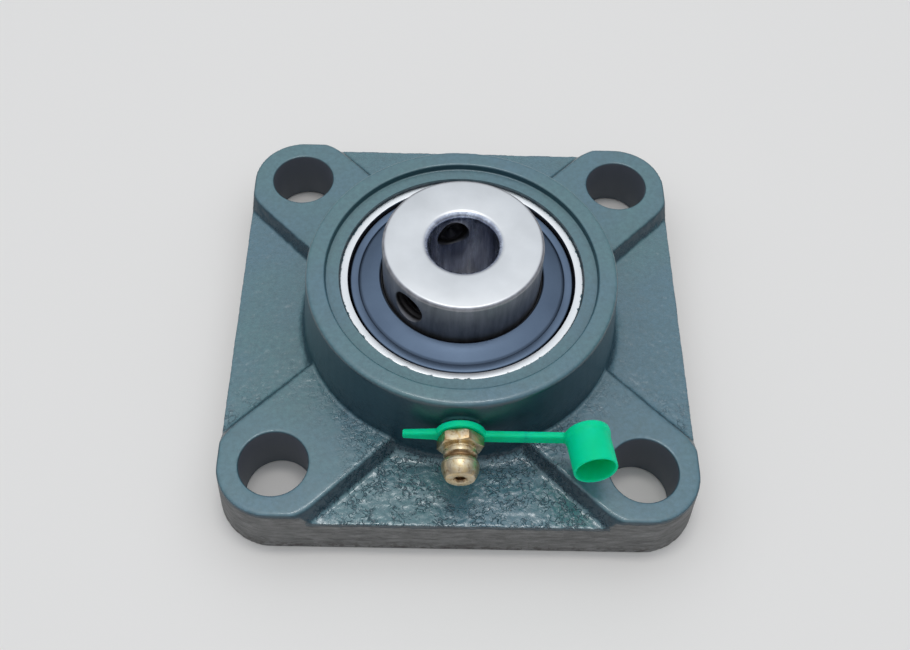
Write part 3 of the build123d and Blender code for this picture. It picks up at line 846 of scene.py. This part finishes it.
def inner_sleeve(material):
    """Extended inner ring with its raceway, chamfered bore and two tapped holes."""
    low, high, bore = sleeve_low.z, sleeve_high.z, 6.0
    chamfer, rounding = 1.35, 0.75
    groove_radius, groove_centre = 4.13, 16.896
    half_angle = math.degrees(math.acos((groove_centre - SLEEVE_RADIUS) / groove_radius))
    section = [(bore, low + chamfer)]
    section += arc((bore + chamfer, high - chamfer), chamfer, 180, 90, 6)
    section += arc((SLEEVE_RADIUS - rounding, high - rounding), rounding, 90, 0, 6)
    section += arc((groove_centre, BEARING_CENTRE), groove_radius, 180 - half_angle,
                   180 + half_angle, 16)
    section += arc((SLEEVE_RADIUS - 0.6, low + 0.6), 0.6, 0, -90, 5)
    section.append((bore + chamfer, low))
    sleeve = turned("inner_sleeve", section)
    for azimuth in SCREW_AZIMUTHS:
        carve(sleeve, put(thread_cutter(), radial_place(azimuth, high - SCREW_DROP)))
    break_edges(sleeve, 0.05)
    place, normal = places_of(sleeve)
    reach = np.hypot(place[:, 0], place[:, 1])
    store(sleeve, "face", ramp(abs(normal[:, 2]), 0.85, 0.99)
          * ((place[:, 2] > high - 1.0) | (place[:, 2] < low + 1.0)))
    outwards = (normal[:, 0] * place[:, 0] + normal[:, 1] * place[:, 1]) / reach
    store(sleeve, "honed", (reach < bore + chamfer) * ramp(-outwards, 0.2, 0.6))
    # marks the tapped holes' walls, where shade is painted
    store(sleeve, "tapped", (reach > bore + 0.1) * (reach < SLEEVE_RADIUS - 0.1)
          * (abs(place[:, 2] - high + SCREW_DROP) < 3.8))
    dress(sleeve, material, "inner_race", "ring_steel", "inner_ring")


def mirror_to_back(section):
    """The same section for the back of the insert."""
    return [(radius, -height) for radius, height in reversed(section)]


def shields(material):
    """Pressed shields: rim in the snap groove, flat band, fine bead and rising inner cone."""
    front = [(20.85, 6.65), (20.85, 7.0), (20.2, 7.05)]
    front += arc((SHIELD_EDGE - 0.25, 7.7), 0.28, 0, 90, 4) + [(18.62, 7.98)]
    front += [(18.50, 7.93), (18.42, 7.78), (18.34, 7.80), (18.22, 7.96), (17.9, 8.08)]
    front += [(16.6, 8.52), (15.5, 8.84), (14.80, 8.98), (14.62, 8.87), (14.68, 8.62)]
    front += [(16.4, 8.15), (18.0, 7.50), (18.4, 7.34), (18.7, 7.50), (19.55, 7.50), (19.75, 6.7)]
    front += [(20.1, 6.65)]
    for side, section in (("front", front), ("back", mirror_to_back(front))):
        piece = turned(side + "_shield", raise_to_bearing(section))
        smooth(piece, 40)
        dress(piece, material, "outer_race", "shield_steel", "shield_" + side)


def lip_seals(material):
    """Rubber seals whose lips run on the inner ring."""
    lip = SLEEVE_RADIUS + 0.03
    front = [(20.35, 5.95), (20.35, 6.45), (19.2, 6.5), (17.6, 7.0), (15.2, 7.3), (14.75, 7.9)]
    front += [(14.6, 8.2), (14.4, 8.3), (lip + 0.1, 8.25), (lip, 8.0), (14.45, 7.0), (15.0, 6.45)]
    front += [(17.4, 6.3), (18.8, 5.95)]
    for side, section in (("front", front), ("back", mirror_to_back(front))):
        piece = turned(side + "_lip_seal", raise_to_bearing(section))
        smooth(piece, 50)
        dress(piece, material, "outer_race", "seal_rubber", "seal_" + side)


# ---------------------------------------------------------------- grease nipple

def nipple(material):
    """Straight hexagon grease nipple with its grooved collar, ball head and drilled mouth."""
    tip, hex_start, hex_end, collar_end, head = -nipple_low.y, 30.35, 32.3, 33.9, 3.2
    across_corners = 7.0 / math.sqrt(3)
    section = [(0.8, 25.0), (2.65, 25.0)]
    for turn in range(3):
        base = 25.2 + turn
        section += [(2.95, base + 0.4), (2.95, base + 0.6), (2.65, base + 1.0)]
    section += [(2.95, 28.75), (2.95, hex_start + 0.4), (2.6, hex_start + 0.5)]
    section += [(2.76, hex_end + 0.05), (2.85, hex_end + 0.3), (2.85, hex_end + 0.55)]
    section += [(2.76, hex_end + 0.62), (2.85, hex_end + 0.70), (2.85, collar_end - 0.25)]
    section += [(2.52, collar_end), (2.40, collar_end + 0.2), (2.40, collar_end + 0.4)]
    section += [(2.62, collar_end + 0.6), (2.95, collar_end + 0.85), (3.13, collar_end + 1.15)]
    section += [(head, collar_end + 1.5), (head - 0.06, collar_end + 1.62)]
    section += [(head, collar_end + 1.75), (3.14, tip - 1.75), (2.98, tip - 1.15)]
    section += [(2.74, tip - 0.55), (2.52, tip - 0.12)]
    section += [(2.35, tip), (1.2, tip), (0.85, tip - 0.35), (0.85, 36.4), (1.3, 36.4)]
    section += [(1.3, 30.45), (0.8, 30.45)]
    body = turned("nipple", section, COARSE_TURN)
    hexagon = add_cylinder("nipple_hexagon", across_corners, hex_end - hex_start,
                           (0, 0, (hex_start + hex_end) / 2), 6)
    put(hexagon, Matrix.Rotation(math.radians(NIPPLE_HEX_TURN), 4, "Z"))
    outside = across_corners + 0.05
    crown = [(0, hex_start), (across_corners - 0.35, hex_start), (outside, hex_start + 0.3)]
    crown += [(outside, hex_end - 0.3), (across_corners - 0.55, hex_end), (0, hex_end)]
    carve(hexagon, turned("nipple_crown", crown, COARSE_TURN), operation="INTERSECT")
    carve(hexagon, add_cylinder("nipple_core", 1.9, 6.0, (0, 0, (hex_start + hex_end) / 2)))
    carve(body, hexagon, operation="UNION")
    put(body, radial_place(-90, NIPPLE_LEVEL))
    break_edges(body, 0.05, degrees=25)
    place, _ = places_of(body)
    reach = np.hypot(place[:, 0], place[:, 2] - NIPPLE_LEVEL)
    neck = (1 - ramp(reach, 2.45, 2.9)) * ramp(-place[:, 1], collar_end - 0.3, collar_end)
    mouth = (1 - ramp(reach, 0.9, 1.25)) * (place[:, 1] < -hex_end)
    face = (1 - ramp(-place[:, 1], tip - 0.3, tip - 0.05)) * neck
    store(body, "grime", np.maximum(face, mouth) + 0.6 * ramp(reach, 3.6, 3.95))
    dress(body, material, "housing", "nipple_brass", "grease_nipple")


# ---------------------------------------------------------------- dust cap moulding

def cap_place():
    """Where the cap sits: z axis out through its mouth, origin at its closed end."""
    yaw, pitch = math.radians(8), math.radians(6)
    mouthwards = Vector((math.sin(yaw) * math.cos(pitch), -math.cos(yaw) * math.cos(pitch),
                         math.sin(pitch)))
    side = Vector((math.cos(yaw), math.sin(yaw), 0))
    third = mouthwards.cross(side)
    turn = Matrix((side, third, mouthwards)).transposed().to_4x4()
    return Matrix.Translation((21.2 * MM, collar_high.y * MM, 19.3 * MM)) @ turn


def cap_cup():
    """The cup: rounded closed end, slightly flared collar, thin wall and rounded lip."""
    length, bore, wall, floor = 7.6, 3.25, 3.75, 1.2
    section = [(0, 0)] + arc((3.55, 0.4), 0.4, -90, 0, 4) + [(3.95, 1.15)]
    section += [(3.82, 1.45), (wall, 1.8), (wall - 0.02, length - 0.22)]
    section += arc((wall - 0.24, length - 0.22), 0.22, 0, 90, 3)
    section += [(bore + 0.2, length - 0.03), (bore, length - 0.22)]
    section += [(bore, floor + 0.5), (bore - 0.5, floor), (0, floor)]
    cup = turned("cup", section, COARSE_TURN)
    return put(cup, cap_place())


def green_moulding():
    """Collar, pull tab, strap and cup fused into one soft moulding."""
    back = collar_high.y
    ring = turned("green_moulding", [(3.05, 0), (4.25, 0), (4.25, 1.2), (3.05, 1.2)], COARSE_TURN)
    put(ring, radial_place(-90, NIPPLE_LEVEL) @ Matrix.Translation((0, 0, -back * MM)))
    tab = add_block("tab", (6.4, STRAP_THICKNESS, 2.6), (-6.55, back - 0.6, NIPPLE_LEVEL))
    select_points(tab, lambda place: place.x < -8)
    bpy.ops.transform.resize(value=(1, 0.95, 0.62), center_override=(
        -9.8 * MM, (back - 0.6) * MM, NIPPLE_LEVEL * MM))
    close_edit()
    strap_mid = (strap_low + strap_high) / 2
    strap = add_block("strap_bar", (14.6, STRAP_THICKNESS, 2.4),
                      (10.9, strap_mid.y, strap_mid.z))
    for piece, width in ((ring, 0.2), (tab, 0.25), (strap, 0.25)):
        modify(piece, "BEVEL", width=width * MM, segments=2, limit_method="ANGLE",
               angle_limit=math.radians(40))
    join(ring, tab, strap, cap_cup())
    modify(ring, "REMESH", mode="VOXEL", voxel_size=MOULDING_VOXEL * MM)
    modify(ring, "SMOOTH", factor=0.5, iterations=4)
    return ring


def cut_half(piece, x, keep_right):
    """Cuts the moulding across its strap and closes the cut."""
    edit(piece)
    bpy.ops.mesh.bisect(plane_co=(x * MM, 0, 0), plane_no=(1, 0, 0), use_fill=True,
                        clear_inner=keep_right, clear_outer=not keep_right)
    close_edit()


def dust_cap(material):
    """The moulding in two pieces that meet in the middle of the strap."""
    collar = green_moulding()
    collar.name = "cap_collar_moulding"
    cup = duplicate(collar, "cap_cup_moulding")
    middle = (strap_low.x + strap_high.x) / 2
    cut_half(collar, middle, keep_right=False)
    cut_half(cup, middle, keep_right=True)
    for piece, bodies, root, nodes in (
            (collar, ("cap_collar", "strap"), strap_low.x + 0.55, ("cap_ring", "cap_strap")),
            (cup, ("strap", "cap"), strap_high.x - 0.55, ("dust_cap",))):
        smooth(piece, 50)
        give_finish(piece, material)
        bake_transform(piece)
        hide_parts(*nodes)


# ---------------------------------------------------------------- inside pieces

def check_spring(material):
    """The spring behind the check ball."""
    spring = copy_of_node("nipple_spring", "check_ball_spring")
    smooth(spring, 60)
    give_finish(spring, material)
    place, _ = places_of(spring)
    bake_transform(spring)
    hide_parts("nipple_spring")


def finish_inside_pieces():
    """Gives the carried-over nodes their finishes."""
    ball, strip, oxide = polished_steel(), strip_steel(), black_oxide()
    finishes = {"cage_front": strip, "cage_back": strip, "cage_rivets": ball, "nipple_ball": ball,
                "set_screw_1": oxide, "set_screw_2": oxide}
    for index in range(8):
        finishes[f"ball_{index + 1}"] = ball
    for name, material in finishes.items():
        give_finish(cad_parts[name], material)


# ---------------------------------------------------------------- studio

def add_floor():
    deselect_all()
    bpy.ops.mesh.primitive_plane_add(size=4.0, location=(0, 0, -0.02 * MM))
    floor = bpy.context.object
    floor.name = "floor"
    finish = Finish("pale_floor", Base_Color=(0.87, 0.825, 0.775, 1), Roughness=0.6)
    floor.data.materials.append(finish.material)


def add_lamp():
    """One soft rectangular lamp above the part and a little behind it."""
    light = bpy.data.lights.new("overhead", "AREA")
    light.energy, light.shape = LAMP_POWER, "RECTANGLE"
    light.size, light.size_y = LAMP_SIZE
    lamp = bpy.data.objects.new("overhead", light)
    bpy.context.scene.collection.objects.link(lamp)
    lamp.location = LAMP_PLACE
    aim = Vector(LAMP_TARGET) - Vector(LAMP_PLACE)
    lamp.rotation_euler = aim.to_track_quat("-Z", "Y").to_euler()


def add_room():
    """A room whose bright side is overhead and a little behind the part."""
    world = bpy.data.worlds.new("studio")
    bpy.context.scene.world = world
    world.use_nodes = True
    room = Shading(world.node_tree)
    direction = room.node("TexCoord", output="Generated")
    lean = room.node("VectorMath", {"operation": "DOT_PRODUCT"},
                     {0: direction, 1: Vector(ROOM_BRIGHT_SIDE).normalized()}, output="Value")
    share = room.node("MapRange", inputs={"Value": lean, "From Min": -1})
    shades = room.node("ValToRGB", {"stops": ROOM_SHADES}, {"Fac": share})
    background = world.node_tree.nodes["Background"]
    plug(room.tree, shades, background.inputs["Color"])
    plug(room.tree, ROOM_STRENGTH, background.inputs["Strength"])


def add_lights():
    """The room and the lamp, with colours shown as they are."""
    add_room()
    add_lamp()
    bpy.context.scene.view_settings.view_transform = "Standard"


def add_camera():
    """The camera: in front of the part, looking down on it, slightly turned and rolled."""
    turn, tilt, roll = math.radians(-1.23), math.radians(34.07), math.radians(2.18)
    data = bpy.data.cameras.new("camera")
    data.sensor_width = 36.0
    data.lens = 43.8
    data.shift_x, data.shift_y = 0.0106, -0.0206
    data.clip_start, data.clip_end = 0.01, 10
    camera = bpy.data.objects.new("camera", data)
    bpy.context.scene.collection.objects.link(camera)
    camera.location = (-5.2 * MM, -116.0 * MM, 185.0 * MM)
    rotation = Matrix.Rotation(turn, 3, "Z") @ Matrix.Rotation(tilt, 3, "X")
    camera.rotation_euler = (rotation @ Matrix.Rotation(roll, 3, "Z")).to_euler()
    bpy.context.scene.camera = camera


add_camera()
add_lights()
add_floor()
flange_casting(casting_enamel())
outer_race(ground_steel())
inner_sleeve(sleeve_steel())
shields(shield_steel())
lip_seals(lip_rubber())
nipple(passivated_brass())
dust_cap(green_plastic())
check_spring(spring_wire())
finish_inside_pieces()
